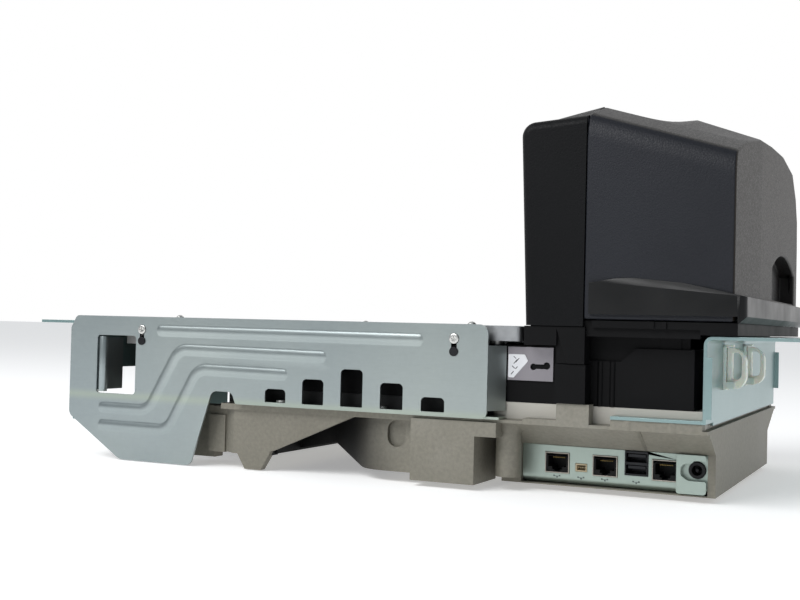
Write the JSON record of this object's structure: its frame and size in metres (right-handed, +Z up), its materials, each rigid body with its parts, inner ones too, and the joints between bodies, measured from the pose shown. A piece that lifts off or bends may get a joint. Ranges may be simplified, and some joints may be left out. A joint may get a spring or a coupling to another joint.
{
  "type": "in-counter barcode scanner and scale",
  "caption": "In-counter checkout scanner with a lift-off weighing platter, an upright reading tower, hanger flanges and a row of side connectors.",
  "frame": {"origin": "centre of the footprint, at the level of the feet", "axes": "+X along the unit towards the tower, +Y away from the connector side, +Z up"},
  "size_m": [0.544, 0.292, 0.2474],
  "materials": {
    "galvanised_steel": "satin zinc plated",
    "stainless_steel": "brushed",
    "cast_alloy": "as cast, fine grained",
    "black_plastic": "fine texture",
    "tower_plastic": "fine leather grain",
    "lip_plastic": "satin",
    "clear_glass": "polished",
    "dark_glass": "polished",
    "mirror": "front silvered",
    "board": "solder mask",
    "nickel": "plated shell",
    "connector_black": "moulded",
    "connector_beige": "moulded",
    "nylon": "translucent natural",
    "screw_steel": "zinc plated",
    "aluminium_bar": "milled",
    "rubber": "moulded",
    "label_paper": "printed film",
    "light_bar": "diffuser"
  },
  "bodies": {
    "base": {"board_standoffs": "screw_steel", "button_switch_board": "board", "cable_clip_base_1": "nylon", "cable_clip_base_2": "nylon", "connector_board": "board", "connector_plate": "galvanised_steel", "die_cast_chassis": "cast_alloy", "dual_usb_socket": "nickel", "far_side_panel": "galvanised_steel", "horizontal_camera": "black_plastic", "horizontal_led_bars": "board", "horizontal_mirror_1": "mirror", "horizontal_mirror_2": "mirror", "horizontal_optics_housing": "black_plastic", "left_hanger_bracket": "galvanised_steel", "load_cell": "aluminium_bar", "lock_plate": "galvanised_steel", "lower_window_glass": "clear_glass", "main_board": "board", "near_side_panel": "galvanised_steel", "network_jack_1": "nickel", "network_jack_2": "nickel", "network_jack_3": "nickel", "optics_tray": "black_plastic", "panel_bumpers": "rubber", "panel_flange_screws": "screw_steel", "pin_header": "connector_beige", "power_jack": "connector_black", "rear_hanger_bracket": "galvanised_steel", "service_label": "label_paper", "side_panel_screws": "screw_steel", "speaker": "black_plastic", "status_light_bar": "light_bar", "tower_apron": "lip_plastic", "tower_camera": "black_plastic", "tower_fold_mirror": "mirror", "tower_frame": "black_plastic", "tower_front_bezel": "tower_plastic", "tower_led_bars": "board", "tower_optics_carrier": "black_plastic", "tower_rear_cover": "tower_plastic", "tower_upper_mirror": "mirror", "tower_window_glass": "dark_glass"},
    "platform": {"weigh_spider": "aluminium_bar"},
    "platter": {"platter": "stainless_steel", "platter_glass": "clear_glass"},
    "lift_lever": {"platter_lift_lever": "stainless_steel"},
    "plug_guard": {"power_plug_guard": "galvanised_steel"},
    "volume_key": {"volume_button": "lip_plastic"},
    "zero_key": {"scale_zero_button": "lip_plastic"},
    "clip_loop_1": {"cable_clip_loop_1": "nylon"},
    "clip_loop_2": {"cable_clip_loop_2": "nylon"},
    "levelling_screw_1": {"levelling_screw_1": "screw_steel"},
    "levelling_screw_2": {"levelling_screw_2": "screw_steel"},
    "levelling_screw_3": {"levelling_screw_3": "screw_steel"},
    "levelling_screw_4": {"levelling_screw_4": "screw_steel"}
  },
  "joints": [
    {"name": "weigh_travel", "type": "slide", "parent": "base", "child": "platform", "axis": [0, 0, -1], "range_m": [0, 0.0008], "stiffness_N_per_m": 60000, "springref_m": -0.0009},
    {"name": "platter_lift_off", "type": "slide", "parent": "platform", "child": "platter", "axis": [0, 0, 1], "range_m": [0, 0.045]},
    {"name": "lift_lever_hinge", "type": "hinge", "parent": "platter", "child": "lift_lever", "pos_m": [0.084, 0, 0.0984], "axis": [0, -1, 0], "range_deg": [0, 60]},
    {"name": "plug_guard_slide", "type": "slide", "parent": "base", "child": "plug_guard", "axis": [-1, 0, 0], "range_m": [0, 0.005]},
    {"name": "volume_button_press", "type": "slide", "parent": "base", "child": "volume_key", "axis": [1, 0, 0], "range_m": [0, 0.0008], "stiffness_N_per_m": 400, "springref_m": -0.0004},
    {"name": "scale_zero_press", "type": "slide", "parent": "base", "child": "zero_key", "axis": [1, 0, 0], "range_m": [0, 0.0008], "stiffness_N_per_m": 400, "springref_m": -0.0004},
    {"name": "clip_1_hinge", "type": "hinge", "parent": "base", "child": "clip_loop_1", "pos_m": [0.22022, -0.084, 0.0686], "axis": [0, 1, 0], "range_deg": [0, 70]},
    {"name": "clip_2_hinge", "type": "hinge", "parent": "base", "child": "clip_loop_2", "pos_m": [0.22022, -0.008, 0.0686], "axis": [0, 1, 0], "range_deg": [0, 70]},
    {"name": "levelling_screw_1_turn", "type": "hinge", "parent": "platform", "child": "levelling_screw_1", "pos_m": [-0.196, -0.113, 0.085], "axis": [0, 0, 1], "range_deg": [-180, 180]},
    {"name": "levelling_screw_2_turn", "type": "hinge", "parent": "platform", "child": "levelling_screw_2", "pos_m": [-0.196, 0.113, 0.085], "axis": [0, 0, 1], "range_deg": [-180, 180]},
    {"name": "levelling_screw_3_turn", "type": "hinge", "parent": "platform", "child": "levelling_screw_3", "pos_m": [0.078, -0.113, 0.085], "axis": [0, 0, 1], "range_deg": [-180, 180]},
    {"name": "levelling_screw_4_turn", "type": "hinge", "parent": "platform", "child": "levelling_screw_4", "pos_m": [0.078, 0.113, 0.085], "axis": [0, 0, 1], "range_deg": [-180, 180]}
  ]
}
